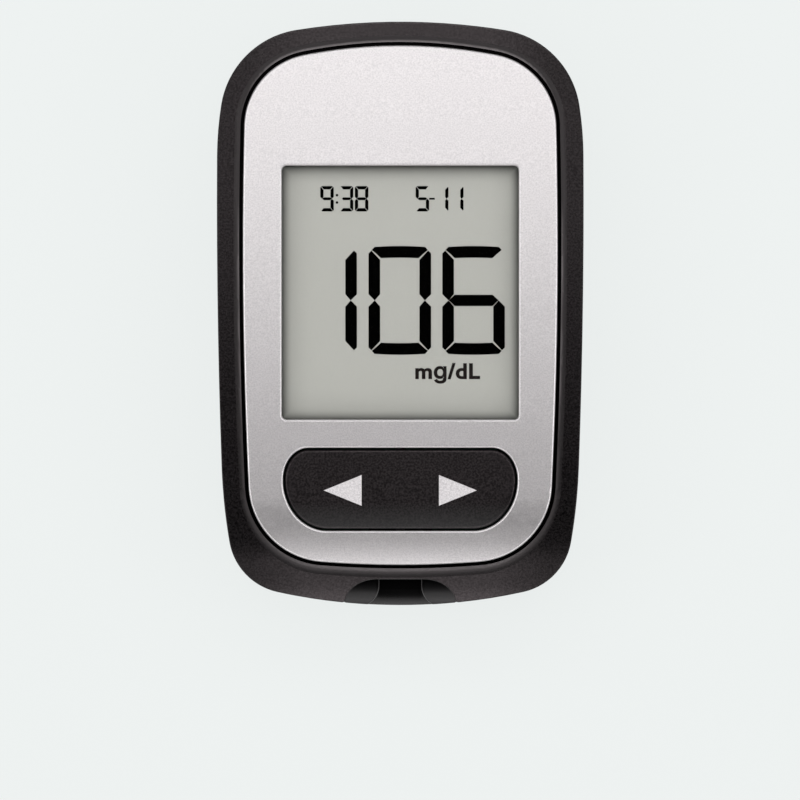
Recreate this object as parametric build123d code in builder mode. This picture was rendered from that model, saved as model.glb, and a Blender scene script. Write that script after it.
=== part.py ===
from build123d import *

import os
from math import asin, degrees

# Blood glucose meter: a pocket meter with a two-way key, a glass display and a test strip port.
#
# Frame: the meter lies on its back. X is across it, Y runs from the strip port (-Y) to the top end
# (+Y), and Z comes out of the display. The origin is the middle of the back face. Millimetres.

# Overall size of the closed case.
body_width = 48.4
body_length = 77.1
body_height = 15.3
parting_height = 7.0
wall = 1.5
rear_wall = 1.4
back_edge_r = 4.0

top_end = body_length / 2
bottom_end = -body_length / 2
right_side = body_width / 2

# Plan of the case: slow side arcs, a haunch towards the port, and two crowned ends.
side_r = 993.0
widest_below_top = 23.6
haunch_above_port = 18.4
haunch_r = 75.8
shoulder_below_top = 17.8
shoulder_r = 46.1
top_crown_r = 87.2
bottom_crown_r = 75.7
top_corner_r = 11.9
bottom_corner_r = 8.2
side_overrun = 2.0

# Front surface: nearly flat along the display, then rolled down towards the port.
front_crown_r = 700.0
front_peak_above_port = 42.5
front_roll_r = 32.0
front_roll_above_port = 14.0
front_roll_angle = 45.0

# Bright fascia, and the frame's rim round it.
fascia_side_margin = 3.38
fascia_top_margin = 3.12
fascia_bottom_margin = 5.35
fascia_side_r = 663.0
fascia_widest_below_top = 29.5
fascia_top_crown_r = 66.2
fascia_bottom_crown_r = 133.0
fascia_top_corner_r = 9.8
fascia_bottom_corner_r = 10.4
fascia_thickness = 0.8
fascia_edge_r = 0.3
fascia_groove = 0.45
trench_depth = 0.9
adhesive = 0.1
adhesive_inset = 0.6
rim_drop = 0.25
rim_outer_r = 0.2
rim_lip_r = 1.3
rim_lip_reach = 0.75
deck = 1.3
deck_drop = fascia_thickness + adhesive

# Key aperture in the fascia, and the key in it.
key_side_margin = 5.39
key_bottom_margin = 4.6
key_height = 10.85
key_top_corner_x = 3.33
key_top_corner_y = 4.1
key_bottom_corner_x = 5.83
key_side_flat = 0.15
key_gap = 0.2
key_drop = 0.15
deck_relief = 0.15
key_wall = 1.2
key_edge_r = 0.35
key_depth = 3.4
aperture_half = right_side - fascia_side_margin - key_side_margin
aperture_bottom = bottom_end + fascia_bottom_margin + key_bottom_margin
aperture_top = aperture_bottom + key_height
key_y = (aperture_bottom + aperture_top) / 2

# Display window.
window_side_margin = 5.23
window_top_margin = 15.95
bridge = 3.83
window_corner_r = 0.6
window_half = right_side - fascia_side_margin - window_side_margin
window_top = top_end - fascia_top_margin - window_top_margin
window_bottom = aperture_top + bridge
window_y = (window_top + window_bottom) / 2
window_height = window_top - window_bottom

# Pane behind the fascia, on a lip of the front frame.
pane_overlap = 1.6
pane_thickness = 0.8
pane_clearance = 0.15
pane_corner_r = 1.2
lip_height = 0.4
lip_opening = 0.6
lip_surround = 1.2
pane_base = 13.35
gasket_base = pane_base - adhesive

# Display cell on the circuit board.
board_thickness = 1.0
board_clearance = 0.5
board_base = parting_height
board_top = board_base + board_thickness
glass_thickness = 0.55
film_thickness = 0.2
glass_overlap = 1.9
glass_foot = 1.2
glass_ledge = 2.4
film_overlap = 0.4
connector_strip_width = 1.8
connector_strip_height = 4.25
connector_strip_inset = 2.5
connector_strip_corner = 0.4
holder_wall = 0.8
holder_fit = 0.1
holder_shelf = 0.7
holder_shelf_width = 1.6
glass_half = window_half + glass_overlap
glass_bottom = window_bottom - glass_foot
glass_top = window_top + glass_foot + glass_ledge
rear_glass_top = glass_top - glass_ledge
front_glass_base = board_top + connector_strip_height
rear_glass_base = front_glass_base - glass_thickness
reflector_base = rear_glass_base - film_thickness
front_film_base = front_glass_base + glass_thickness

# Screw bosses of the front frame and the screws that hold the board to them.
boss_side_margin = 7.6
boss_top_margin = 10.4
boss_bottom_margin = 9.6
boss_r = 2.2
screw_r = 0.8
screw_clearance = 0.1
screw_length = 4.0
screw_head_r = 1.5
screw_head = 0.8
screw_head_edge_r = 0.25
screw_slot = 0.45
screw_slot_length = 1.8
boss_x = right_side - boss_side_margin
boss_rows = (bottom_end + boss_bottom_margin, top_end - boss_top_margin)
boss_places = [(sign * boss_x, y) for y in boss_rows for sign in (-1, 1)]

# Key hinge: two pins along Y in open cradles under the deck.
pin_r = 0.6
pin_length = 1.2
pin_clearance = 0.05
pin_height = 11.2
cradle_half = 1.8
cradle_length = 1.2
cradle_floor = 0.45
cradle_mouth = 1.0
cradle_gap = 0.25
hinge_lug_half = 1.5
hinge_lug = 1.2

# Switches under the key.
switch_x = 7.5
dome_r = 2.5
dome_height = 0.35
dome_sheet = 0.1
nub_r = 1.1
nub_gap = 0.02

# Strip port: an arched bay in the frame, with a guide that funnels the strip into a slot.
port_depth = 3.46
port_flat_half = 3.07
port_shoulder_x = 4.2
port_shoulder_y = 3.2
port_corner_r = 0.5
port_wall = 1.0
guide_crest = 10.7
guide_roll_r = 6.0
slot_half = 2.75
slot_height = 0.9
slot_floor = 8.5
flare_r = 2.85
flare_start = 2.65
flare_angle = 68.0
guide_wall = 0.8
guide_fit = 0.1
sleeve_length = 1.4
port_inner_y = bottom_end + port_depth
sleeve_end = port_inner_y + sleeve_length
guide_edge_r = 0.25
cheek_edge_r = 0.2
floor_roll_r = 3.8
floor_roll_above_end = 1.9

# Strip connector and its contacts.
strip_housing_half = 4.2
strip_housing_length = 9.5
strip_housing_height = 1.8
strip_housing_gap = 0.1
strip_contact_count = 6
strip_contact_pitch = 0.85
strip_contact_width = 0.4
strip_contact_sheet = 0.15
tail_notch = 1.0

# Coin cells, one behind the other, and their bay in the rear cover.
cell_r = 10.0
cell_thickness = 3.2
cell_rim = 0.3
cell_step = 0.6
bay_clearance = 0.35
bay_join = 0.2
bay_roof = 1.0
bay_wall = 1.0
bay_below_top = 31.5
contact_gap = 0.6
cell_lift = 0.2
bay_r = cell_r + bay_clearance
bay_y = top_end - bay_below_top
cell_base = rear_wall + cell_lift
cell_top = cell_base + cell_thickness
bay_ceiling = cell_top + contact_gap
cell_pitch = 2 * bay_r - bay_join
cell_places = {"lower": bay_y - cell_pitch / 2, "upper": bay_y + cell_pitch / 2}

# Battery door, hinged at its port end by two lugs and held by a sprung latch.
door_gap = 0.2
door_corner_r = 1.5
door_side_room = 0.3
latch_room = 2.9
lug_x = 7.6
lug_width = 3.2
lug_reach = 1.4
lug_thickness = 1.0
lug_lift = 0.1
lug_neck = 1.0
latch_half = 3.5
latch_sheet = 0.6
latch_bend_r = 0.75
latch_height = 2.6
latch_hook = 0.5
latch_hook_height = 0.6
latch_gap = 0.3
scoop_r = 6.0
scoop_depth = 0.9
door_half = bay_r + door_side_room
door_low = cell_places["lower"] - bay_r - door_side_room
door_high = cell_places["upper"] + bay_r + latch_room
door_y = (door_low + door_high) / 2
door_length = door_high - door_low
swing_room = 3.2

# Bent contacts between the cells and the board.
contact_sheet = 0.2
contact_width = 3.0
contact_touch = 0.02
contact_bend_r = 0.15
contact_post = 1.4
leaf_length = 4.5

# Seam between the two halves of the case.
seam_chamfer = 0.15
tongue_height = 1.2
tongue_gap = 0.1
tongue_inset = 0.8
snap_reach = 0.25
snap_height = 0.5
snap_length = 5.0
snap_pitch = 20.0
snap_count = 3

# Data socket at the top end.
socket_half = 3.75
socket_height = 2.5
socket_length = 5.0
socket_sheet = 0.25
socket_setback = 0.5
socket_clearance = 0.2
socket_corner_r = 0.6
socket_tongue_half = 1.9
socket_tongue_thickness = 0.5

# Parts soldered to the board.
chip_size = 7.0
chip_height = 1.0
radio_width = 8.0
radio_length = 11.0
radio_height = 1.6
sounder_r = 5.0
sounder_height = 1.9
sounder_hole_r = 0.8
radio_corner_r = 0.4
underside_above_port = 15.5
crystal_r = 0.75
crystal_length = 3.2
small_part_length = 1.0
small_part_width = 0.5
small_part_height = 0.5
small_part_column_count = 3
small_part_row_count = 4
top_parts_x = 9.0
top_parts_below_end = 8.6
underside_y = bottom_end + underside_above_port
top_parts_y = top_end - top_parts_below_end

os.makedirs("parts", exist_ok=True)


def lean(radius, distance):
    """Angle an arc turns through over a distance measured across its start direction."""
    return degrees(asin(distance / radius))


def crowned_outline(half, widest, top, bottom, slow_r, shoulder, haunch, crowns, corners, inset):
    """Plan bounded by two side chains of tangent arcs and two crowned ends, drawn in by inset."""
    shoulder_r, shoulder_y = shoulder
    haunch_r, haunch_y = haunch
    start = (half - inset, widest)
    with BuildSketch() as plan:
        with BuildLine():
            rise = JernArc(start, (0, 1), slow_r - inset, lean(slow_r, shoulder_y - widest))
            upper = JernArc(
                rise @ 1, rise % 1, shoulder_r - inset, lean(shoulder_r, top + side_overrun - shoulder_y)
            )
            fall = JernArc(start, (0, -1), slow_r - inset, -lean(slow_r, widest - haunch_y))
            lower = JernArc(
                fall @ 1, fall % 1, haunch_r - inset, -lean(haunch_r, haunch_y + side_overrun - bottom)
            )
            Line(upper @ 1, (0, (upper @ 1).Y))
            Line(lower @ 1, (0, (lower @ 1).Y))
            mirror(about=Plane.YZ)
        make_face()
        with Locations((0, top - crowns[0])):
            Circle(crowns[0] - inset, mode=Mode.INTERSECT)
        with Locations((0, bottom + crowns[1])):
            Circle(crowns[1] - inset, mode=Mode.INTERSECT)
        fillet(plan.vertices().group_by(Axis.Y)[-1], corners[0] - inset)
        fillet(plan.vertices().group_by(Axis.Y)[0], corners[1] - inset)
    return plan.sketch


def body_outline(inset=0.0):
    """Plan of the case, drawn in by inset."""
    return crowned_outline(
        right_side,
        top_end - widest_below_top,
        top_end,
        bottom_end,
        side_r,
        (shoulder_r, top_end - shoulder_below_top),
        (haunch_r, bottom_end + haunch_above_port),
        (top_crown_r, bottom_crown_r),
        (top_corner_r, bottom_corner_r),
        inset,
    )


def fascia_outline(grow=0.0):
    """Plan of the fascia, grown by grow."""
    widest = top_end - fascia_widest_below_top
    return crowned_outline(
        right_side - fascia_side_margin,
        widest,
        top_end - fascia_top_margin,
        bottom_end + fascia_bottom_margin,
        fascia_side_r,
        (fascia_side_r, widest + wall),
        (fascia_side_r, widest - wall),
        (fascia_top_crown_r, fascia_bottom_crown_r),
        (fascia_top_corner_r, fascia_bottom_corner_r),
        -grow,
    )


def window_outline(grow=0.0, corner=window_corner_r):
    """Plan of the display window, grown by grow."""
    with BuildSketch() as plan:
        with Locations((0, window_y)):
            RectangleRounded(2 * (window_half + grow), window_height + 2 * grow, corner)
    return plan.sketch


def key_outline(gap=0.0):
    """Plan of the key aperture, drawn in by gap; each corner is a quarter ellipse."""
    half = aperture_half - gap
    top = aperture_top - gap
    bottom = aperture_bottom + gap
    upper_x, upper_y = key_top_corner_x - gap, key_top_corner_y - gap
    lower_x = key_bottom_corner_x - gap
    lower_y = top - bottom - upper_y - key_side_flat
    with BuildSketch() as plan:
        with BuildLine():
            Line((0, top), (half - upper_x, top))
            EllipticalCenterArc((half - upper_x, top - upper_y), upper_x, upper_y, arc_size=90)
            Line((half, top - upper_y), (half, bottom + lower_y))
            EllipticalCenterArc(
                (half - lower_x, bottom + lower_y), lower_x, lower_y, start_angle=270, arc_size=90
            )
            Line((half - lower_x, bottom), (0, bottom))
            mirror(about=Plane.YZ)
        make_face()
    return plan.sketch


def snap_outline(reach, length):
    """Plan of the snap ridges along both sides, standing out of the tongue by reach."""
    with BuildSketch() as plan:
        add(body_outline(tongue_inset - reach))
        with GridLocations(0, snap_pitch, 1, snap_count):
            Rectangle(body_width, length, mode=Mode.INTERSECT)
        add(body_outline((tongue_inset + wall) / 2), mode=Mode.SUBTRACT)
    return plan.sketch


def port_outline(grow=0.0):
    """Plan of the arched port bay, open at the end of the case, grown by grow."""
    flat_y = bottom_end + port_depth + grow
    spring_y = bottom_end + port_depth - port_shoulder_y
    half = port_flat_half + port_shoulder_x + grow
    mouth_y = bottom_end - wall
    with BuildSketch() as plan:
        with BuildLine():
            Line((0, flat_y), (port_flat_half, flat_y))
            EllipticalCenterArc(
                (port_flat_half, spring_y), port_shoulder_x + grow, port_shoulder_y + grow, arc_size=90
            )
            Polyline((half, spring_y), (half, mouth_y), (0, mouth_y))
            mirror(about=Plane.YZ)
        make_face()
    return plan.sketch


def front_block(drop=0.0):
    """Everything behind the front surface after it is lowered by drop."""
    peak = (bottom_end + front_peak_above_port, body_height - drop)
    crown_turn = lean(front_crown_r, front_peak_above_port - front_roll_above_port)
    with BuildPart() as block:
        with BuildSketch(Plane.YZ):
            with BuildLine():
                rear = JernArc(peak, (1, 0), front_crown_r - drop, -lean(front_crown_r, body_length))
                crown = JernArc(peak, (-1, 0), front_crown_r - drop, crown_turn)
                roll = JernArc(crown @ 1, crown % 1, front_roll_r - drop, front_roll_angle)
                Polyline(roll @ 1, ((roll @ 1).X, -wall), ((rear @ 1).X, -wall), rear @ 1)
            make_face()
        extrude(amount=body_width, both=True)
    return block.part


def plug(plan, drop, base=parting_height):
    """A plan extruded from base up to the front surface lowered by drop."""
    with BuildPart() as solid:
        with BuildSketch(Plane.XY.offset(base)):
            add(plan)
        extrude(amount=body_height)
        add(front_block(drop), mode=Mode.INTERSECT)
    return solid.part


def rolled_block(radius, crest, roll_y):
    """Everything below the height crest, rolled down from roll_y towards the port."""
    with BuildPart() as block:
        with BuildSketch(Plane.YZ):
            with Locations((roll_y, crest - radius)):
                Circle(radius)
                Rectangle(body_width, 2 * radius, align=(Align.MIN, Align.CENTER))
        extrude(amount=body_width, both=True)
    return block.part


def forward_edges(part):
    """Edges round the faces that look forward, without the seam where the roll begins."""
    edges = [edge for face in part.faces() if face.normal_at().Z > 0.5 for edge in face.edges()]
    shared = [edge for edge in edges if sum(edge.is_same(other) for other in edges) > 1]
    return ShapeList(edge for edge in edges if edge not in shared)


def at_height(part, height):
    """Edges of a part that lie flat at one height."""
    return part.edges().filter_by_position(Axis.Z, height - 0.001, height + 0.001)


def cheek_edge(edge):
    """Whether an edge of the strip guide is the front edge of a cheek's inner side."""
    middle = edge.center()
    inside = abs(middle.X) < slot_half + wall and middle.Y < port_inner_y - cheek_edge_r
    return inside and middle.Z > slot_floor + wall


def export(part, label):
    """Name a finished piece and write it."""
    part.label = label
    export_step(part, f"parts/{label}.step")


# ------------------------------------------------------------------ fascia
with BuildPart() as fascia:
    with BuildSketch(Plane.XY.offset(parting_height)):
        add(fascia_outline())
        add(window_outline(), mode=Mode.SUBTRACT)
        add(key_outline(), mode=Mode.SUBTRACT)
    extrude(amount=body_height)
    add(front_block(), mode=Mode.INTERSECT)
    add(front_block(fascia_thickness), mode=Mode.SUBTRACT)
    fillet(forward_edges(fascia.part), fascia_edge_r)
export(fascia.part, "fascia")

# Adhesive sheet between the fascia and the deck, kept clear of the pane and the key.
with BuildPart() as fascia_adhesive:
    with BuildSketch(Plane.XY.offset(parting_height)):
        add(fascia_outline(-adhesive_inset))
        add(window_outline(pane_overlap + adhesive_inset, pane_corner_r), mode=Mode.SUBTRACT)
        add(key_outline(-adhesive_inset), mode=Mode.SUBTRACT)
    extrude(amount=body_height)
    add(front_block(fascia_thickness), mode=Mode.INTERSECT)
    add(front_block(deck_drop), mode=Mode.SUBTRACT)
export(fascia_adhesive.part, "fascia_adhesive")

# ------------------------------------------------------------------ front frame
cradle_base = pin_height - pin_r - pin_clearance - cradle_floor
cradle_places = [
    aperture_top + cradle_gap + cradle_length / 2,
    aperture_bottom - cradle_gap - cradle_length / 2,
]
sleeve_half = slot_half + guide_wall
sleeve_height = slot_height + 2 * guide_wall
slot_mid = slot_floor + slot_height / 2
socket_mid = board_top + socket_height / 2

with BuildSketch() as bosses_plan:
    with Locations(*boss_places):
        Circle(boss_r)

with BuildSketch() as cradles_plan:
    with Locations(*[(0, y) for y in cradle_places]):
        Rectangle(2 * cradle_half, cradle_length)

with BuildSketch() as port_wall_plan:
    add(port_outline(port_wall))
    add(body_outline(wall / 2), mode=Mode.INTERSECT)
    add(port_outline(), mode=Mode.SUBTRACT)

with BuildPart() as front_frame:
    with BuildSketch(Plane.XY.offset(parting_height)) as frame_plan:
        add(body_outline())
        add(port_outline(), mode=Mode.SUBTRACT)
        fillet(frame_plan.vertices().group_by(Axis.Y)[0], port_corner_r)
    extrude(amount=body_height)
    add(front_block(rim_drop), mode=Mode.INTERSECT)
    fillet(forward_edges(front_frame.part), rim_outer_r)
    chamfer(at_height(front_frame.part, parting_height), seam_chamfer)
    # The recess for the fascia, whose lip rolls in to a sharp edge, and the deck inside a narrow trench.
    with BuildSketch(Plane.XY.offset(parting_height)):
        add(fascia_outline(fascia_groove + rim_lip_reach - rim_lip_r))
    extrude(amount=body_height, mode=Mode.SUBTRACT)
    lip = front_frame.edges(Select.LAST).filter_by(GeomType.LINE, reverse=True)
    fillet(lip.filter_by(lambda edge: edge.center().Z > parting_height + wall), rim_lip_r)
    with BuildSketch(Plane.XY.offset(parting_height)):
        add(fascia_outline(fascia_groove))
    extrude(amount=body_height, mode=Mode.SUBTRACT)
    add(plug(fascia_outline(fascia_groove), deck_drop + trench_depth))
    add(plug(fascia_outline(), deck_drop))
    add(plug(body_outline(wall), deck_drop + deck), mode=Mode.SUBTRACT)
    # Rebate for the rear cover's tongue.
    with BuildSketch(Plane.XY.offset(parting_height)):
        add(body_outline(tongue_inset - tongue_gap))
    extrude(amount=tongue_height + tongue_gap, mode=Mode.SUBTRACT)
    with BuildSketch(Plane.XY.offset(parting_height + tongue_height - snap_height - 2 * tongue_gap)):
        add(snap_outline(snap_reach + tongue_gap, snap_length + 2 * tongue_gap))
    extrude(amount=snap_height + 2 * tongue_gap, mode=Mode.SUBTRACT)
    # Lip and pocket for the pane.
    add(plug(window_outline(pane_overlap + lip_surround, pane_corner_r), deck_drop, gasket_base - lip_height))
    with BuildSketch(Plane.XY.offset(gasket_base)):
        add(window_outline(pane_overlap + pane_clearance, pane_corner_r))
    extrude(amount=body_height, mode=Mode.SUBTRACT)
    with BuildSketch(Plane.XY.offset(parting_height)):
        add(window_outline(lip_opening))
        add(key_outline(-deck_relief))
    extrude(amount=body_height, mode=Mode.SUBTRACT)
    # Screw bosses, key cradles and the wall of the port bay.
    add(plug(bosses_plan.sketch, deck_drop + deck / 2, board_top))
    with BuildSketch(Plane.XY.offset(board_top)):
        with Locations(*boss_places):
            Circle(screw_r + screw_clearance / 2)
    extrude(amount=screw_length, mode=Mode.SUBTRACT)
    add(plug(cradles_plan.sketch, deck_drop + deck / 2, cradle_base))
    with Locations(*[(0, y, pin_height) for y in cradle_places]):
        Cylinder(pin_r + pin_clearance, 2 * cradle_length, rotation=(90, 0, 0), mode=Mode.SUBTRACT)
    with Locations(*[(0, y, cradle_base) for y in cradle_places]):
        Box(cradle_mouth, 2 * cradle_length, 2 * (pin_height - cradle_base), mode=Mode.SUBTRACT)
    add(plug(port_wall_plan.sketch, deck_drop))
    with Locations((0, port_inner_y, slot_mid)):
        Box(2 * (sleeve_half + guide_fit), 4 * port_wall, sleeve_height + 2 * guide_fit, mode=Mode.SUBTRACT)
    # Mouth of the data socket through the top end.
    with BuildSketch(Plane.XZ.offset(-top_end + 2 * wall)):
        with Locations((0, socket_mid)):
            RectangleRounded(
                2 * (socket_half + socket_clearance), socket_height + 2 * socket_clearance, socket_corner_r
            )
    extrude(amount=-3 * wall, mode=Mode.SUBTRACT)
export(front_frame.part, "front_frame")

# ------------------------------------------------------------------ strip port guide
# Channel between two cheeks, parallel inside and flared towards the end of the case.
with BuildSketch() as channel_plan:
    with BuildLine():
        side = Line((slot_half, port_inner_y), (slot_half, bottom_end + flare_start))
        flare = JernArc(side @ 1, (0, -1), flare_r, flare_angle)
        Polyline(flare @ 1, ((flare @ 1).X, bottom_end - wall), (0, bottom_end - wall))
        Line((0, port_inner_y), side @ 0)
        mirror(about=Plane.YZ)
    make_face()

with BuildPart() as channel_floor:
    with BuildSketch(Plane.XY.offset(parting_height)):
        add(channel_plan.sketch)
        add(body_outline(), mode=Mode.INTERSECT)
    extrude(amount=body_height)
    add(rolled_block(floor_roll_r, slot_floor, bottom_end + floor_roll_above_end), mode=Mode.INTERSECT)

with BuildPart() as strip_guide:
    with BuildSketch(Plane.XY.offset(parting_height)):
        add(port_outline())
        add(body_outline(), mode=Mode.INTERSECT)
    extrude(amount=body_height)
    add(rolled_block(guide_roll_r, guide_crest, port_inner_y), mode=Mode.INTERSECT)
    # Sleeve that carries the strip through the wall of the bay to the connector.
    with Locations((0, port_inner_y - port_wall, slot_mid)):
        Box(
            2 * sleeve_half,
            sleeve_length + port_wall,
            sleeve_height,
            align=(Align.CENTER, Align.MIN, Align.CENTER),
        )
    with BuildSketch(Plane.XY.offset(parting_height)):
        add(channel_plan.sketch)
    extrude(amount=body_height, mode=Mode.SUBTRACT)
    fillet(ShapeList(edge for edge in forward_edges(strip_guide.part) if cheek_edge(edge)), cheek_edge_r)
    add(channel_floor.part)
    with Locations((0, port_inner_y - wall, slot_mid)):
        Box(
            2 * slot_half,
            2 * sleeve_length,
            slot_height,
            align=(Align.CENTER, Align.MIN, Align.CENTER),
            mode=Mode.SUBTRACT,
        )
export(strip_guide.part, "strip_guide")

# ------------------------------------------------------------------ rocker key
key_base = body_height - key_depth
key_ends = [(1, aperture_top - key_gap), (-1, aperture_bottom + key_gap)]
nub_base = board_top + dome_height + nub_gap

with BuildSketch() as nubs_plan:
    with Locations((-switch_x, key_y), (switch_x, key_y)):
        Circle(nub_r)

with BuildSketch() as hinge_lugs_plan:
    with Locations(*[(0, y - side * hinge_lug / 2) for side, y in key_ends]):
        Rectangle(2 * hinge_lug_half, hinge_lug)

with BuildPart() as rocker_key:
    with BuildSketch(Plane.XY.offset(key_base)):
        add(key_outline(key_gap))
    extrude(amount=body_height)
    add(front_block(key_drop), mode=Mode.INTERSECT)
    fillet(forward_edges(rocker_key.part), key_edge_r)
    add(plug(key_outline(key_gap + key_wall), key_drop + key_wall, key_base - wall), mode=Mode.SUBTRACT)
    add(plug(nubs_plan.sketch, key_drop + key_wall / 2, nub_base))
    add(plug(hinge_lugs_plan.sketch, key_drop + key_wall / 2, pin_height - hinge_lug))
    with Locations(*[(0, y + side * (pin_length - hinge_lug / 2) / 2, pin_height) for side, y in key_ends]):
        Cylinder(pin_r, pin_length + hinge_lug / 2, rotation=(90, 0, 0))
export(rocker_key.part, "rocker_key")

# ------------------------------------------------------------------ display
with BuildPart() as display_window:
    with BuildSketch(Plane.XY.offset(pane_base)):
        add(window_outline(pane_overlap, pane_corner_r))
    extrude(amount=pane_thickness)
    chamfer(at_height(display_window.part, pane_base + pane_thickness), seam_chamfer)
export(display_window.part, "display_window")

with BuildPart() as window_gasket:
    with BuildSketch(Plane.XY.offset(gasket_base)):
        add(window_outline(pane_overlap, pane_corner_r))
        add(window_outline(lip_opening), mode=Mode.SUBTRACT)
    extrude(amount=adhesive)
export(window_gasket.part, "window_gasket")


def slab(half, low, high, base, thickness, corner=0.0):
    """A flat sheet across the meter between two Y values."""
    with BuildPart() as sheet:
        with BuildSketch(Plane.XY.offset(base)):
            with Locations((0, (low + high) / 2)):
                if corner:
                    RectangleRounded(2 * half, high - low, corner)
                else:
                    Rectangle(2 * half, high - low)
        extrude(amount=thickness)
    return sheet.part


film_half = window_half + film_overlap
film_low = window_bottom - film_overlap
film_high = window_top + film_overlap
export(slab(film_half, film_low, film_high, front_film_base, film_thickness), "lcd_front_polariser")
export(slab(glass_half, glass_bottom, glass_top, front_glass_base, glass_thickness), "lcd_front_glass")
export(slab(glass_half, glass_bottom, rear_glass_top, rear_glass_base, glass_thickness), "lcd_rear_glass")
export(slab(film_half, film_low, film_high, reflector_base, film_thickness), "lcd_reflector")

# Elastomer strip that joins the glass's ledge to the board, beside the rear glass.
strip_y = (rear_glass_top + glass_top) / 2
strip_half = glass_half - connector_strip_inset
export(
    slab(
        strip_half,
        strip_y - connector_strip_width / 2,
        strip_y + connector_strip_width / 2,
        board_top,
        connector_strip_height,
        connector_strip_corner,
    ),
    "elastomer_connector",
)

with BuildPart() as lcd_holder:
    outer_half = glass_half + holder_fit + holder_wall
    outer_low = glass_bottom - holder_fit - holder_wall
    outer_high = glass_top + holder_fit + holder_wall
    add(slab(outer_half, outer_low, outer_high, board_top, front_film_base - board_top, holder_wall))
    # Pocket for the glass, shelf under its edges, and the hollow over the chips.
    add(
        slab(
            glass_half + holder_fit,
            glass_bottom - holder_fit,
            glass_top + holder_fit,
            reflector_base,
            body_height,
        ),
        mode=Mode.SUBTRACT,
    )
    add(
        slab(
            glass_half - holder_shelf_width,
            glass_bottom + holder_shelf_width,
            rear_glass_top - holder_shelf_width,
            board_top,
            body_height,
        ),
        mode=Mode.SUBTRACT,
    )
    add(
        slab(
            glass_half + holder_fit,
            glass_bottom - holder_fit,
            rear_glass_top - holder_wall,
            board_top,
            reflector_base - holder_shelf - board_top,
        ),
        mode=Mode.SUBTRACT,
    )
    add(
        slab(
            strip_half + holder_fit,
            strip_y - connector_strip_width / 2 - holder_fit,
            strip_y + connector_strip_width / 2 + holder_fit,
            board_top,
            body_height,
        ),
        mode=Mode.SUBTRACT,
    )
export(lcd_holder.part, "lcd_holder")

# ------------------------------------------------------------------ circuit board
with BuildPart() as circuit_board:
    with BuildSketch(Plane.XY.offset(board_base)):
        add(body_outline(wall + board_clearance))
        with Locations((0, bottom_end)):
            Rectangle(
                2 * (port_flat_half + port_shoulder_x + port_wall + board_clearance),
                2 * (sleeve_end + guide_fit - bottom_end),
                mode=Mode.SUBTRACT,
            )
        with Locations(*boss_places):
            Circle(screw_r + screw_clearance, mode=Mode.SUBTRACT)
    extrude(amount=board_thickness)
export(circuit_board.part, "circuit_board")

with BuildPart() as board_screws:
    with BuildSketch(Plane.XY.offset(board_base - screw_head)):
        with Locations(*boss_places):
            Circle(screw_head_r)
    extrude(amount=screw_head)
    fillet(at_height(board_screws.part, board_base - screw_head), screw_head_edge_r)
    with BuildSketch(Plane.XY.offset(board_base)):
        with Locations(*boss_places):
            Circle(screw_r)
    extrude(amount=screw_length)
    with BuildSketch(Plane.XY.offset(board_base - screw_head)):
        with Locations(*boss_places):
            Rectangle(screw_slot_length, screw_slot)
            Rectangle(screw_slot, screw_slot_length)
    extrude(amount=screw_slot, mode=Mode.SUBTRACT)
export(board_screws.part, "board_screws")

# Snap domes of the two switches, each a thin spherical cap on the board.
dome_sphere_r = (dome_r**2 + dome_height**2) / (2 * dome_height)
for side, label in ((-1, "left_switch_dome"), (1, "right_switch_dome")):
    with BuildPart() as dome:
        with BuildSketch(Plane.XZ.offset(-key_y)):
            with Locations((side * switch_x, board_top)):
                with Locations((0, dome_height - dome_sphere_r)):
                    Circle(dome_sphere_r)
                    Circle(dome_sphere_r - dome_sheet, mode=Mode.SUBTRACT)
                Rectangle(dome_r, dome_height, align=(Align.MIN, Align.MIN), mode=Mode.INTERSECT)
        revolve(axis=Axis((side * switch_x, key_y, 0), (0, 0, 1)))
    export(dome.part, label)


# ------------------------------------------------------------------ strip connector
housing_low = sleeve_end + strip_housing_gap
housing_high = housing_low + strip_housing_length
housing_mid = (housing_low + housing_high) / 2

with BuildPart() as strip_connector:
    with Locations((0, housing_mid, board_top)):
        Box(
            2 * strip_housing_half,
            strip_housing_length,
            strip_housing_height,
            align=(Align.CENTER, Align.CENTER, Align.MIN),
        )
    fillet(strip_connector.edges().filter_by(Axis.Z), guide_edge_r)
    # Slot for the strip, flared at its mouth, and the notch where the contacts turn down.
    with Locations((0, housing_mid, slot_mid)):
        Box(2 * (slot_half + guide_fit), strip_housing_length + wall, slot_height, mode=Mode.SUBTRACT)
    with Locations((0, housing_high, board_top)):
        Box(
            2 * (slot_half + guide_fit),
            2 * tail_notch,
            slot_floor - board_top + slot_height,
            align=(Align.CENTER, Align.CENTER, Align.MIN),
            mode=Mode.SUBTRACT,
        )
export(strip_connector.part, "strip_connector")

# Sprung leaves: a tail soldered behind the housing, and a crest that rubs the strip.
with BuildPart() as strip_contacts:
    tail_z = board_top + strip_contact_sheet / 2
    with BuildSketch(Plane.YZ):
        with BuildLine():
            FilletPolyline(
                (housing_high + tail_notch, tail_z),
                (housing_high - tail_notch / 2, tail_z),
                (housing_high - tail_notch, slot_floor + strip_contact_sheet),
                (housing_mid, slot_floor + strip_contact_sheet),
                (housing_low + 2 * tail_notch, slot_mid + strip_contact_sheet),
                (housing_low + tail_notch, slot_floor + strip_contact_sheet),
                radius=strip_contact_sheet,
            )
        trace(line_width=strip_contact_sheet)
    extrude(amount=strip_contact_width / 2, both=True)
strip_contact_row = [
    strip_contacts.part.moved(Location(((i - (strip_contact_count - 1) / 2) * strip_contact_pitch, 0, 0)))
    for i in range(strip_contact_count)
]
export(Compound(children=strip_contact_row), "strip_contacts")

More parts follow.
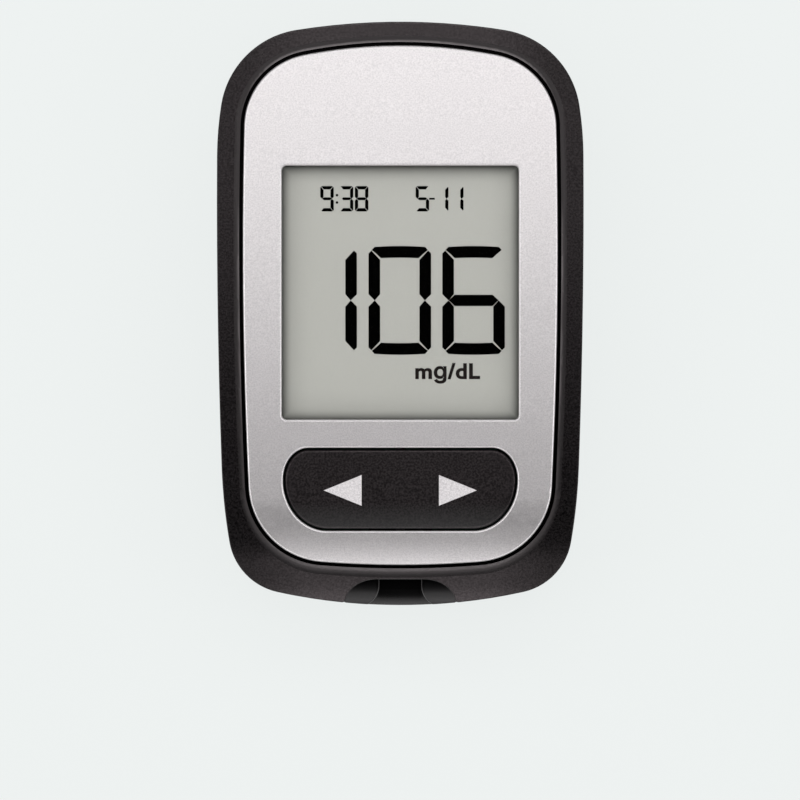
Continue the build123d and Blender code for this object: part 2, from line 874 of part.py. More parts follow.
# ------------------------------------------------------------------ parts on the board
with BuildPart() as microcontroller:
    with Locations((0, window_y, board_top)):
        Box(chip_size, chip_size, chip_height, align=(Align.CENTER, Align.CENTER, Align.MIN))
    chamfer(microcontroller.faces().sort_by(Axis.Z)[-1].edges(), seam_chamfer)
export(microcontroller.part, "microcontroller")

with BuildPart() as radio_module:
    with Locations((switch_x, underside_y, board_base)):
        Box(radio_width, radio_length, radio_height, align=(Align.CENTER, Align.CENTER, Align.MAX))
    fillet(radio_module.edges().filter_by(Axis.Z), radio_corner_r)
export(radio_module.part, "radio_module")

with BuildPart() as sounder:
    with BuildSketch(Plane.XY.offset(board_base)):
        with Locations((-switch_x, underside_y)):
            Circle(sounder_r)
    extrude(amount=-sounder_height)
    fillet(at_height(sounder.part, board_base - sounder_height), seam_chamfer)
    with BuildSketch(Plane.XY.offset(board_base - sounder_height)):
        with Locations((-switch_x, underside_y)):
            Circle(sounder_hole_r)
    extrude(amount=sounder_height / 2, mode=Mode.SUBTRACT)
export(sounder.part, "sounder")

with BuildPart() as clock_crystal:
    with Locations((top_parts_x, top_parts_y, board_top + crystal_r)):
        Cylinder(crystal_r, crystal_length, rotation=(0, 90, 0))
    fillet(clock_crystal.edges().filter_by(GeomType.CIRCLE), crystal_r / 4)
export(clock_crystal.part, "clock_crystal")

with BuildPart() as small_components:
    with BuildSketch(Plane.XY.offset(board_top)):
        with Locations((-top_parts_x, top_parts_y)):
            with GridLocations(
                2 * small_part_length, 3 * small_part_width, small_part_column_count, small_part_row_count
            ):
                Rectangle(small_part_length, small_part_width)
    extrude(amount=small_part_height)
export(small_components.part, "small_components")

# ------------------------------------------------------------------ data socket
socket_mouth = top_end - socket_setback
with BuildPart() as data_socket:
    with BuildSketch(Plane.XZ.offset(-socket_mouth)):
        with Locations((0, socket_mid)):
            RectangleRounded(2 * socket_half, socket_height, socket_corner_r)
    extrude(amount=socket_length)
    with BuildSketch(Plane.XZ.offset(-socket_mouth)):
        with Locations((0, socket_mid)):
            RectangleRounded(
                2 * (socket_half - socket_sheet), socket_height - 2 * socket_sheet, socket_corner_r / 2
            )
    extrude(amount=socket_length - socket_sheet, mode=Mode.SUBTRACT)
export(data_socket.part, "data_socket")

with BuildPart() as data_socket_tongue:
    with Locations((0, socket_mouth - socket_sheet * 2, socket_mid)):
        Box(
            2 * socket_tongue_half,
            socket_length - 3 * socket_sheet,
            socket_tongue_thickness,
            align=(Align.CENTER, Align.MAX, Align.CENTER),
        )
export(data_socket_tongue.part, "data_socket_tongue")

# ------------------------------------------------------------------ coin cells and contacts
leg_x = bay_r + contact_post
for place, y in cell_places.items():
    with BuildPart() as coin_cell:
        with BuildSketch(Plane.XY.offset(cell_base)):
            with Locations((0, y)):
                Circle(cell_r)
        extrude(amount=cell_thickness - cell_rim)
        fillet(coin_cell.edges(), cell_rim)
        with BuildSketch(Plane.XY.offset(cell_base + cell_thickness / 2)):
            with Locations((0, y)):
                Circle(cell_r - cell_step)
        extrude(amount=cell_thickness / 2)
    export(coin_cell.part, f"coin_cell_{place}")

    # Leaf on the cell's negative face, with a leg up to the board.
    with BuildPart() as negative_contact:
        with BuildSketch(Plane.YZ):
            with BuildLine():
                FilletPolyline(
                    (y - leaf_length, board_base),
                    (y - leaf_length, bay_ceiling),
                    (y, cell_top + contact_sheet / 2 + contact_touch),
                    (y + leaf_length / 2, cell_top + contact_gap / 2 + contact_sheet),
                    radius=contact_bend_r,
                )
            trace(line_width=contact_sheet)
        extrude(amount=contact_width / 2, both=True)
        split(bisect_by=Plane.XY.offset(board_base), keep=Keep.BOTTOM)
    export(negative_contact.part, f"negative_contact_{place}")

    # Spring against the rim of the cell's can, with a leg up to the board.
    with BuildPart() as positive_contact:
        with BuildSketch(Plane.XZ.offset(-y)):
            with BuildLine():
                FilletPolyline(
                    (leg_x, board_base),
                    (leg_x, cell_base + contact_sheet),
                    (leg_x - contact_sheet * 2, cell_base + contact_sheet),
                    (cell_r + contact_sheet / 2 + contact_touch, cell_base + cell_thickness / 2),
                    (leg_x - contact_sheet * 3, cell_top - contact_sheet),
                    radius=contact_bend_r,
                )
            trace(line_width=contact_sheet)
        extrude(amount=contact_width / 2, both=True)
        split(bisect_by=Plane.XY.offset(board_base), keep=Keep.BOTTOM)
    export(positive_contact.part, f"positive_contact_{place}")

# ------------------------------------------------------------------ rear cover
bay_half = leg_x + contact_sheet / 2 + bay_wall
bay_low = door_low - lug_reach - latch_gap - bay_wall
bay_high = door_high + latch_hook + latch_gap + bay_wall
bay_top = bay_ceiling + bay_roof

with BuildPart() as rear_hollow:
    with BuildSketch(Plane.XY.offset(rear_wall)):
        add(body_outline(wall))
    extrude(amount=body_height)
    fillet(at_height(rear_hollow.part, rear_wall), back_edge_r - wall)

with BuildPart() as rear_cover:
    with BuildSketch():
        add(body_outline())
    extrude(amount=parting_height)
    fillet(at_height(rear_cover.part, 0), back_edge_r)
    chamfer(at_height(rear_cover.part, parting_height), seam_chamfer)
    add(rear_hollow.part, mode=Mode.SUBTRACT)
    # Tongue inside the front frame, stopped at the port and at the data socket.
    with BuildSketch(Plane.XY.offset(parting_height)):
        add(body_outline(tongue_inset))
        add(body_outline(wall), mode=Mode.SUBTRACT)
        with Locations((0, bottom_end)):
            Rectangle(
                2 * (port_flat_half + port_shoulder_x + port_wall + board_clearance),
                2 * port_depth,
                mode=Mode.SUBTRACT,
            )
        with Locations((0, top_end)):
            Rectangle(2 * (socket_half + 3 * socket_clearance), 4 * wall, mode=Mode.SUBTRACT)
    extrude(amount=tongue_height)
    with BuildSketch(Plane.XY.offset(parting_height + tongue_height - snap_height - tongue_gap)):
        add(snap_outline(snap_reach, snap_length))
    extrude(amount=snap_height)
    # Block that holds the cells, open to the back.
    with BuildSketch(Plane.XY.offset(rear_wall / 2)):
        with Locations((0, (bay_low + bay_high) / 2)):
            RectangleRounded(2 * bay_half, bay_high - bay_low, door_corner_r)
    extrude(amount=bay_top - rear_wall / 2)
    with BuildSketch(Plane.XY.offset(-wall)):
        with Locations((0, door_y)):
            RectangleRounded(2 * door_half, door_length, door_corner_r)
    extrude(amount=swing_room + wall, mode=Mode.SUBTRACT)
    with BuildSketch(Plane.XY.offset(rear_wall)):
        with Locations((-lug_x, door_low), (lug_x, door_low)):
            Rectangle(lug_width + 2 * latch_gap, 2 * (lug_reach + latch_gap))
        with Locations((0, door_high)):
            Rectangle(2 * (latch_half + latch_gap), 2 * (latch_hook + latch_gap))
    extrude(amount=swing_room - rear_wall, mode=Mode.SUBTRACT)
    with BuildSketch(Plane.XY.offset(rear_wall)):
        with Locations(*[(0, y) for y in cell_places.values()]):
            Circle(bay_r)
        with Locations((0, cell_places["upper"])):
            Rectangle(2 * (latch_half + latch_gap), bay_r + latch_room, align=(Align.CENTER, Align.MIN))
    extrude(amount=bay_ceiling - rear_wall, mode=Mode.SUBTRACT)
    # Slots for the contacts.
    with BuildSketch(Plane.XY.offset(cell_base)):
        with Locations(*[(leg_x - contact_post / 2, y) for y in cell_places.values()]):
            Rectangle(contact_post + contact_sheet * 3, contact_width + 2 * latch_gap)
    extrude(amount=parting_height, mode=Mode.SUBTRACT)
    with BuildSketch(Plane.XY.offset(bay_ceiling - contact_touch)):
        with Locations(*[(0, y) for y in cell_places.values()]):
            Rectangle(contact_width + 2 * latch_gap, 2 * (leaf_length + latch_gap))
    extrude(amount=parting_height, mode=Mode.SUBTRACT)
    # Finger scoop beside the latch.
    with Locations((0, door_high, scoop_depth - scoop_r)):
        Sphere(scoop_r, mode=Mode.SUBTRACT)
export(rear_cover.part, "rear_cover")

# ------------------------------------------------------------------ battery door
latch_leg_out = door_high - latch_gap - latch_sheet / 2
latch_leg_in = latch_leg_out - 2 * latch_bend_r
latch_shoulder = rear_wall + latch_height - latch_bend_r

with BuildPart() as battery_door:
    with BuildSketch():
        with Locations((0, door_y)):
            RectangleRounded(2 * (door_half - door_gap), door_length - 2 * door_gap, door_corner_r - door_gap)
    extrude(amount=rear_wall)
    chamfer(at_height(battery_door.part, 0), seam_chamfer)
    # Notch for the latch.
    with Locations((0, latch_leg_in + latch_sheet / 2, -wall)):
        Box(
            2 * (latch_half + latch_gap),
            latch_room * 2,
            4 * wall,
            align=(Align.CENTER, Align.MIN, Align.MIN),
            mode=Mode.SUBTRACT,
        )
    # Lugs that reach over the edge of the rear wall.
    with BuildSketch(Plane.YZ):
        with BuildLine():
            Polyline(
                (door_low + door_gap + lug_neck, rear_wall - lug_lift),
                (door_low + door_gap + lug_neck, rear_wall + lug_lift + lug_thickness),
                (door_low - lug_reach, rear_wall + lug_lift + lug_thickness),
                (door_low - lug_reach, rear_wall + lug_lift),
                (door_low + door_gap, rear_wall + lug_lift),
                (door_low + door_gap, rear_wall - lug_lift),
                close=True,
            )
        make_face()
    extrude(amount=lug_x + lug_width / 2)
    with Locations((0, door_low, rear_wall)):
        Box(
            2 * lug_x - lug_width,
            4 * lug_reach,
            4 * lug_thickness,
            align=(Align.CENTER, Align.CENTER, Align.MIN),
            mode=Mode.SUBTRACT,
        )
    mirror(about=Plane.YZ)
export(battery_door.part, "battery_door")

# Sprung latch: a folded strip with a hook over the rear wall and a thumb tab.
with BuildPart() as door_latch:
    with BuildSketch(Plane.YZ):
        with BuildLine():
            leg = Line((latch_leg_in, rear_wall), (latch_leg_in, latch_shoulder))
            bend = JernArc(leg @ 1, (0, 1), latch_bend_r, -180)
            Line(bend @ 1, (latch_leg_out, lug_lift))
        trace(line_width=latch_sheet)
        with Locations((latch_leg_out, rear_wall + lug_lift)):
            Rectangle(
                latch_sheet / 2 + latch_gap + latch_hook,
                latch_hook_height,
                align=(Align.MIN, Align.MIN),
            )
    extrude(amount=latch_half, both=True)
export(door_latch.part, "door_latch")
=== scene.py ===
from math import pi

import bpy
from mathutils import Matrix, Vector


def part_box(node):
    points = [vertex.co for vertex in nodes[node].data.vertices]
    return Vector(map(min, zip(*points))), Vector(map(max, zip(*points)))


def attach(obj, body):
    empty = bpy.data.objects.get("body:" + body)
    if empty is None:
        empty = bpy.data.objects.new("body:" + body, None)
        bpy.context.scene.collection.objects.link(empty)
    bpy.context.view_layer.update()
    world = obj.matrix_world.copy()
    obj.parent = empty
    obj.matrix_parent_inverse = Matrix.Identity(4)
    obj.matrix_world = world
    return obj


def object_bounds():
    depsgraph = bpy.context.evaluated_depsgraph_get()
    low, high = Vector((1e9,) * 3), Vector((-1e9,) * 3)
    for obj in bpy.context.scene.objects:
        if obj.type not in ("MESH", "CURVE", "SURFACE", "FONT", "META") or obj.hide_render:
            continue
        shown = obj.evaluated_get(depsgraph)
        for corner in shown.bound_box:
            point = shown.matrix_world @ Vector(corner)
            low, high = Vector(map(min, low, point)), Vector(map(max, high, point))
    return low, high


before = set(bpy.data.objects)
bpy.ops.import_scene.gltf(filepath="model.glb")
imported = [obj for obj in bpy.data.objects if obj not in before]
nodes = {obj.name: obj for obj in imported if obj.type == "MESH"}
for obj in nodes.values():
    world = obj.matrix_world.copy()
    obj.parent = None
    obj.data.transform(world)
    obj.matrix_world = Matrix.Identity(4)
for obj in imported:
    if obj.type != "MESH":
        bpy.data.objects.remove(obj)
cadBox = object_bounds()
mm = 0.001
print("frame loaded:", len(nodes), "nodes")


def deselectAll():
    if bpy.context.mode != "OBJECT":
        bpy.ops.object.mode_set(mode="OBJECT")
    bpy.ops.object.select_all(action="DESELECT")


def activate(piece):
    deselectAll()
    piece.select_set(True)
    bpy.context.view_layer.objects.active = piece


def applyPlace(piece):
    activate(piece)
    bpy.ops.object.transform_apply(location=True, rotation=True, scale=True)


def applyModifier(piece, kind, name, **values):
    modifier = piece.modifiers.new(name, kind)
    for key, value in values.items():
        setattr(modifier, key, value)
    activate(piece)
    bpy.ops.object.modifier_apply(modifier=name)


def joinPieces(pieces, name):
    activate(pieces[0])
    for piece in pieces[1:]:
        piece.select_set(True)
    bpy.ops.object.join()
    joined = bpy.context.view_layer.objects.active
    joined.name = name
    joined.data.name = name
    return joined


def startMaterial(name, **values):
    material = bpy.data.materials.new(name)
    material.use_nodes = True
    tree = material.node_tree
    shader = tree.nodes["Principled BSDF"]
    for key, value in values.items():
        shader.inputs[key.replace("_", " ")].default_value = value
    place = tree.nodes.new("ShaderNodeTexCoord").outputs["Object"]
    return material, tree, shader, place


def stretchedPlace(tree, place, scale):
    mapping = tree.nodes.new("ShaderNodeMapping")
    mapping.inputs["Scale"].default_value = scale
    tree.links.new(place, mapping.inputs["Vector"])
    return mapping.outputs["Vector"]


def noise(tree, place, size, detail=2.0):
    texture = tree.nodes.new("ShaderNodeTexNoise")
    texture.inputs["Scale"].default_value = 1 / size
    texture.inputs["Detail"].default_value = detail
    tree.links.new(place, texture.inputs["Vector"])
    return texture.outputs["Fac"]


def cells(tree, place, size):
    texture = tree.nodes.new("ShaderNodeTexVoronoi")
    texture.inputs["Scale"].default_value = 1 / size
    tree.links.new(place, texture.inputs["Vector"])
    return texture.outputs["Distance"]


# the range that it maps from is a noise's usual spread, unless another is given
def remap(tree, value, low, high, fromLow=0.3, fromHigh=0.7):
    node = tree.nodes.new("ShaderNodeMapRange")
    node.inputs["From Min"].default_value = fromLow
    node.inputs["From Max"].default_value = fromHigh
    node.inputs["To Min"].default_value = low
    node.inputs["To Max"].default_value = high
    tree.links.new(value, node.inputs["Value"])
    return node.outputs["Result"]


# a mask that rises from 0 to 1 while the value goes from start to end
def ramp(tree, value, start, end):
    return remap(tree, value, 0, 1, start, end)


def combine(tree, kind, first, second):
    node = tree.nodes.new("ShaderNodeMath")
    node.operation = kind
    for socket, value in zip(node.inputs, (first, second)):
        if isinstance(value, float):
            socket.default_value = value
        else:
            tree.links.new(value, socket)
    return node.outputs["Value"]


def times(tree, first, second):
    return combine(tree, "MULTIPLY", first, second)


def withoutSign(tree, value):
    return combine(tree, "MAXIMUM", value, times(tree, value, -1.0))


def combineVectors(tree, kind, *vectors):
    node = tree.nodes.new("ShaderNodeVectorMath")
    node.operation = kind
    for socket, value in zip(node.inputs, vectors):
        if isinstance(value, tuple):
            socket.default_value = value
        else:
            tree.links.new(value, socket)
    return node.outputs


def splitAxes(tree, vector):
    node = tree.nodes.new("ShaderNodeSeparateXYZ")
    tree.links.new(vector, node.inputs["Vector"])
    return node.outputs


mixColours = (6, 7)  # the two colour inputs of a Mix node
mixedColour = 2  # and its colour output


def blendColours(tree, factor, first, second):
    node = tree.nodes.new("ShaderNodeMix")
    node.data_type = "RGBA"
    tree.links.new(factor, node.inputs["Factor"])
    for number, colour in zip(mixColours, (first, second)):
        if isinstance(colour, tuple):
            node.inputs[number].default_value = (*colour, 1)
        else:
            tree.links.new(colour, node.inputs[number])
    return node.outputs[mixedColour]


def addBump(tree, shader, height, strength, distance):
    bump = tree.nodes.new("ShaderNodeBump")
    bump.inputs["Strength"].default_value = strength
    bump.inputs["Distance"].default_value = distance
    tree.links.new(height, bump.inputs["Height"])
    tree.links.new(bump.outputs["Normal"], shader.inputs["Normal"])


def blendShaders(tree, share, first, second):
    mix = tree.nodes.new("ShaderNodeMixShader")
    tree.links.new(share, mix.inputs["Fac"])
    for number, shader in enumerate((first, second), start=1):
        tree.links.new(shader, mix.inputs[number])
    tree.links.new(mix.outputs["Shader"], tree.nodes["Material Output"].inputs["Surface"])


def basePaint(shader):
    return shader.inputs["Base Color"].links[0].from_socket


def dress(material, *names):
    for name in names:
        nodes[name].material_slots[0].material = material


# camera
camera = {
    "scale": 0.132 * mm,  # size of one picture point on the object
    "pictureSize": 800,
    "middle": 399.5,  # picture points are counted from the middle of the first one
    "centreX": 399.77,  # picture point of the meter's middle
    "centreY": 313.18,
    "lens": 600.0,
    "sensor": 36.0,
    "sharpHeight": 14.0 * mm,  # height at which the scale holds
    "clip": (0.01, 10.0),  # as shares of the camera's distance
}
pictureWidth = camera["scale"] * camera["pictureSize"]
cameraData = bpy.data.cameras.new("mainCamera")
cameraData.lens = camera["lens"]
cameraData.sensor_width = camera["sensor"]
cameraDistance = pictureWidth * camera["lens"] / camera["sensor"]
cameraData.clip_start, cameraData.clip_end = [share * cameraDistance for share in camera["clip"]]
mainCamera = bpy.data.objects.new("mainCamera", cameraData)
mainCamera.location = (
    (camera["middle"] - camera["centreX"]) * camera["scale"],
    (camera["centreY"] - camera["middle"]) * camera["scale"],
    camera["sharpHeight"] + cameraDistance,
)
bpy.context.scene.collection.objects.link(mainCamera)
bpy.context.scene.camera = mainCamera
bpy.context.scene.view_settings.view_transform = "Standard"
print("camera placed")

# black case
caseLook = {
    "colour": (0.0002, 0.0002, 0.0002),
    "speck": (0.0120, 0.0106, 0.0110),
    "roughness": (0.19, 0.24),
    "grainSize": 0.25 * mm,
    "grainDetail": 3.0,
    "grainDepth": 0.006 * mm,
    "bump": 0.6,
    "glint": (0.84, 1.16),  # how much the grain dims and lifts the reflection
    "glintGrain": (0.38, 0.62),  # values of the grain where it does so in full
    "patchSize": 9.0 * mm,
    "specular": 0.47,
    "specularTint": (1.0, 0.87, 0.90),
    "rubbed": 0.235,  # specular level along the long sides, lowered there as painted shade
    "rubbedX": (12.0 * mm, 20.0 * mm),  # where that painted shade starts and is full
}


def caseMaterial(name, look):
    material, tree, shader, place = startMaterial(
        name, Specular_IOR_Level=look["specular"], Specular_Tint=(*look["specularTint"], 1)
    )
    grain = noise(tree, place, look["grainSize"], look["grainDetail"])
    patches = noise(tree, place, look["patchSize"])
    colour = blendColours(tree, remap(tree, grain, 0, 1), look["colour"], look["speck"])
    tree.links.new(colour, shader.inputs["Base Color"])
    tree.links.new(remap(tree, patches, *look["roughness"]), shader.inputs["Roughness"])
    addBump(tree, shader, grain, look["bump"], look["grainDepth"])
    return material, tree, shader, place


def glintFactor(tree, place, look):
    grain = noise(tree, place, look["grainSize"], look["grainDetail"])
    return remap(tree, grain, *look["glint"], *look["glintGrain"])


# the specular level, which falls towards the long sides as painted shade
def rubbedGloss(tree, place, look):
    side = withoutSign(tree, splitAxes(tree, place)["X"])
    level = remap(tree, side, look["specular"], look["rubbed"], *look["rubbedX"])
    return times(tree, level, glintFactor(tree, place, look))


def coverMaterial(name, look):
    material, tree, shader, place = caseMaterial(name, look)
    tree.links.new(rubbedGloss(tree, place, look), shader.inputs["Specular IOR Level"])
    return material


dress(coverMaterial("caseBlack", caseLook), "rear_cover", "battery_door", "door_latch")

# front moulding: painted highlight on the lip round the fascia, painted shade on the floor in the
# trench
front = {
    "top": cadBox[1].z,
    "peakY": 3.95 * mm,  # where the crown is highest
    "crown": 700.0 * mm,  # radius along the length
    "rollY": -24.55 * mm,  # where the front starts to roll down to the port
    "roll": 31.0 * mm,  # radius of the roll
}
# in a pair below, a mask starts at the first value and is full at the second
frontLook = dict(
    caseLook,
    # painted highlight: the lip round the fascia is painted paler, with less reflection
    lip=(0.043, 0.0392, 0.0400),
    lipLean=(-0.02, -0.42),  # sine of its lean, below zero where it faces the middle
    lipTop=1.4,  # how much steeper the lip counts at the top end
    lipUp=(0.35, 0.55),
    lipGloss=0.25,  # share of the reflection that stays
    crest=(0.235, 0.215, 0.219),  # painted highlight, the lip's line next to the groove
    crestLean=(-0.45, -0.80),
    crestSteep=1.5,  # factor on the crest's lean away from the port end
    crestSteepY=(-0.90, -0.45),
    crestFade=2.0,
    # painted shade: the trench floor is painted darker, with less reflection
    trench=(0.0006, 0.0006, 0.0006),
    trenchDepth=(0.9 * mm, 1.3 * mm),
    trenchUp=(0.85, 0.95),
    trenchGloss=0.05,  # share of the reflection that stays
)


# how deep a point lies under the crowned front, and how far the front leans along Y there
def frontDepthAndSlope(tree, place):
    axes = splitAxes(tree, place)
    fromPeak = combine(tree, "SUBTRACT", axes["Y"], front["peakY"])
    rolled = combine(tree, "MAXIMUM", combine(tree, "SUBTRACT", front["rollY"], axes["Y"]), 0.0)
    crownSlope = combine(tree, "DIVIDE", fromPeak, front["crown"])
    rollSlope = combine(tree, "DIVIDE", rolled, front["roll"])
    crownDrop = times(tree, times(tree, crownSlope, fromPeak), 0.5)
    rollDrop = times(tree, times(tree, rollSlope, rolled), 0.5)
    level = combine(tree, "ADD", combine(tree, "ADD", crownDrop, rollDrop), axes["Z"])
    depth = combine(tree, "SUBTRACT", front["top"], level)
    return depth, combine(tree, "SUBTRACT", crownSlope, rollSlope)


def frontMaterial(name, look):
    material, tree, shader, place = caseMaterial(name, look)
    normal = place.node.outputs["Normal"]
    level = combineVectors(tree, "MULTIPLY", place, (1, 1, 0))["Vector"]
    outward = combineVectors(tree, "NORMALIZE", level)["Vector"]
    outwardY = splitAxes(tree, outward)["Y"]
    lean = combineVectors(tree, "DOT_PRODUCT", outward, normal)["Value"]
    depth, slope = frontDepthAndSlope(tree, place)
    ownLean = combine(tree, "SUBTRACT", lean, times(tree, slope, outwardY))
    up = splitAxes(tree, normal)["Z"]
    upward = ramp(tree, up, *look["lipUp"])
    steeper = remap(tree, outwardY, 1, 1 + look["lipTop"], 0, 1)
    lip = times(tree, ramp(tree, times(tree, ownLean, steeper), *look["lipLean"]), upward)
    steeper = remap(tree, outwardY, 1, look["crestSteep"], *look["crestSteepY"])
    crest = ramp(tree, times(tree, ownLean, steeper), *look["crestLean"])
    crest = times(tree, combine(tree, "POWER", crest, look["crestFade"]), upward)
    trench = times(
        tree, ramp(tree, depth, *look["trenchDepth"]), ramp(tree, up, *look["trenchUp"])
    )
    # painted highlight on the lip and its crest, painted shade on the trench floor
    paint = basePaint(shader)
    for mask, colour in ((lip, look["lip"]), (crest, look["crest"]), (trench, look["trench"])):
        paint = blendColours(tree, mask, paint, colour)
    tree.links.new(paint, shader.inputs["Base Color"])
    gloss = rubbedGloss(tree, place, look)
    gloss = times(tree, gloss, remap(tree, trench, 1, look["trenchGloss"], 0, 1))
    gloss = times(tree, gloss, remap(tree, lip, 1, look["lipGloss"], 0, 1))
    tree.links.new(gloss, shader.inputs["Specular IOR Level"])
    return material


dress(frontMaterial("frontBlack", frontLook), "front_frame")

# key
keyLook = dict(
    caseLook,
    speck=(0.0110, 0.0092, 0.0097),
    roughness=(0.32, 0.38),
    specular=0.38,
    glint=(0.66, 1.34),
    foot=(0.032, 0.032, 0.032),  # painted reflection, paler towards the port
    footY=(-24.8 * mm, -28.6 * mm),
)


def keyMaterial(name, look):
    material, tree, shader, place = caseMaterial(name, look)
    gloss = times(tree, glintFactor(tree, place, look), look["specular"])
    tree.links.new(gloss, shader.inputs["Specular IOR Level"])
    # painted reflection: the key's lower part is painted paler towards the port
    foot = ramp(tree, splitAxes(tree, place)["Y"], *look["footY"])
    paint = blendColours(tree, foot, basePaint(shader), look["foot"])
    tree.links.new(paint, shader.inputs["Base Color"])
    return material


dress(keyMaterial("keyBlack", keyLook), "rocker_key")

# strip guide: painted shade in the slot, by a reflection that fades out further in than the mouth,
# and painted highlights on its sideways edges
guideLook = dict(
    caseLook,
    colour=(0.0016, 0.0016, 0.0017),
    speck=(0.0022, 0.0022, 0.0023),
    roughness=(0.26, 0.32),
    grainDepth=0.003 * mm,
    specularTint=(1.0, 0.97, 0.98),
    specular=0.5,
    inside=0.02,  # specular level further in than the mouth, low there as painted shade
    mouthY=(-36.4 * mm, -38.1 * mm),
    cheekX=(2.6 * mm, 3.3 * mm),
    cheekShift=1.1 * mm,  # how much further in the cheeks keep their full reflection
    edge=(0.060, 0.057, 0.058),  # painted highlight on the edges that lean sideways
    edgeLean=(0.20, 0.50),
    edgeUp=(0.15, 0.40),
)


def guideMaterial(name, look):
    material, tree, shader, place = caseMaterial(name, look)
    axes = splitAxes(tree, place)
    facing = splitAxes(tree, place.node.outputs["Normal"])
    # painted highlight on the edges that lean sideways
    edge = times(
        tree,
        ramp(tree, withoutSign(tree, facing["X"]), *look["edgeLean"]),
        ramp(tree, facing["Z"], *look["edgeUp"]),
    )
    paint = blendColours(tree, edge, basePaint(shader), look["edge"])
    tree.links.new(paint, shader.inputs["Base Color"])
    # painted shade: the reflection fades out inside the slot
    shift = remap(tree, withoutSign(tree, axes["X"]), 0, look["cheekShift"], *look["cheekX"])
    mouth = combine(tree, "SUBTRACT", axes["Y"], shift)
    polish = remap(tree, mouth, look["inside"], look["specular"], *look["mouthY"])
    tree.links.new(polish, shader.inputs["Specular IOR Level"])
    return material


dress(guideMaterial("guideGrey", guideLook), "strip_guide")

# silver paint on the fascia
silverLook = {
    "colour": (0.742, 0.712, 0.720),
    "fleck": (0.922, 0.886, 0.894),
    "metallic": 1.0,
    "roughness": (0.34, 0.38),
    # painted shade: darker paint on the rolled edge and on the cut wall
    "edge": (0.44, 0.425, 0.43),
    "edgeUp": (0.94, 0.78),
    "edgeAhead": (0.10, 0.30),
    "wall": (0.050, 0.048, 0.048),
    "wallUp": (0.45, 0.25),
    "fleckSize": 0.19 * mm,
    "fleckDepth": 0.006 * mm,
    "bump": 0.5,
    "waveSize": 0.55 * mm,
}


def silverMaterial(look):
    material, tree, shader, place = startMaterial("silverPaint", Metallic=look["metallic"])
    fine = noise(tree, place, look["fleckSize"])
    coarse = noise(tree, place, look["waveSize"])
    paint = blendColours(tree, remap(tree, fine, 0, 1), look["colour"], look["fleck"])
    # painted shade: the rolled edge is painted darker, to dim its highlight, and the cut wall dark
    facing = splitAxes(tree, place.node.outputs["Normal"])
    thin = combine(
        tree,
        "MAXIMUM",
        ramp(tree, facing["Z"], *look["edgeUp"]),
        ramp(tree, facing["Y"], *look["edgeAhead"]),
    )
    paint = blendColours(tree, thin, paint, look["edge"])
    wall = ramp(tree, facing["Z"], *look["wallUp"])
    tree.links.new(blendColours(tree, wall, paint, look["wall"]), shader.inputs["Base Color"])
    tree.links.new(remap(tree, coarse, *look["roughness"]), shader.inputs["Roughness"])
    addBump(tree, shader, cells(tree, place, look["fleckSize"]), look["bump"], look["fleckDepth"])
    return material


dress(silverMaterial(silverLook), "fascia")

# display: pale film under clear panes
filmLook = {
    "colour": (0.664, 0.665, 0.629),
    "tint": (0.680, 0.681, 0.645),
    # painted shadow along the window's edge
    "border": (0.150, 0.152, 0.142),
    "borderWidth": 1.35 * mm,
    "overlap": 0.4 * mm,  # how far the film runs on behind the window's edge
    "roughness": (0.55, 0.65),
    "specular": 0.2,
    "grainSize": 0.25 * mm,
}


def filmMaterial(look):
    material, tree, shader, place = startMaterial(
        "displayFilm", Specular_IOR_Level=look["specular"]
    )
    grain = noise(tree, place, look["grainSize"])
    colour = blendColours(tree, remap(tree, grain, 0, 1), look["colour"], look["tint"])
    # painted shadow: the film darkens towards the window's edge
    axes = splitAxes(tree, place)
    low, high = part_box("lcd_front_polariser")
    nearest = look["borderWidth"]
    for axis, lowest, highest in zip("XY", low, high):
        fromLow = combine(tree, "SUBTRACT", axes[axis], lowest + look["overlap"])
        fromHigh = combine(tree, "SUBTRACT", highest - look["overlap"], axes[axis])
        nearest = combine(tree, "MINIMUM", nearest, combine(tree, "MINIMUM", fromLow, fromHigh))
    edge = ramp(tree, nearest, look["borderWidth"], 0)
    colour = blendColours(tree, times(tree, edge, edge), colour, look["border"])
    tree.links.new(colour, shader.inputs["Base Color"])
    tree.links.new(remap(tree, grain, *look["roughness"]), shader.inputs["Roughness"])
    return material


dress(filmMaterial(filmLook), "lcd_front_polariser", "lcd_reflector")

paneLook = {
    "tint": (0.985, 0.985, 0.98),
    "ior": 1.45,
    "facingFresnel": 0.034,  # what the index gives straight on
    "facing": 0.0005,  # share that the coated pane reflects straight on, and at a grazing angle
    "grazing": 0.5,
    "roughness": (0.08, 0.12),
    "smearSize": 6 * mm,
}
glassLook = dict(paneLook, tint=(0.85, 0.92, 0.89))


def paneMaterial(name, look):
    material, tree, shader, place = startMaterial(name)
    tree.nodes.remove(shader)
    clear = tree.nodes.new("ShaderNodeBsdfTransparent")
    clear.inputs["Color"].default_value = (*look["tint"], 1)
    gloss = tree.nodes.new("ShaderNodeBsdfGlossy")
    smear = noise(tree, place, look["smearSize"])
    tree.links.new(remap(tree, smear, *look["roughness"]), gloss.inputs["Roughness"])
    fresnel = tree.nodes.new("ShaderNodeFresnel")
    fresnel.inputs["IOR"].default_value = look["ior"]
    share = remap(
        tree, fresnel.outputs["Fac"], look["facing"], look["grazing"], look["facingFresnel"], 1.0
    )
    blendShaders(tree, share, clear.outputs["BSDF"], gloss.outputs["BSDF"])
    return material


dress(paneMaterial("clearPane", paneLook), "display_window")
dress(paneMaterial("displayGlass", glassLook), "lcd_front_glass", "lcd_rear_glass")

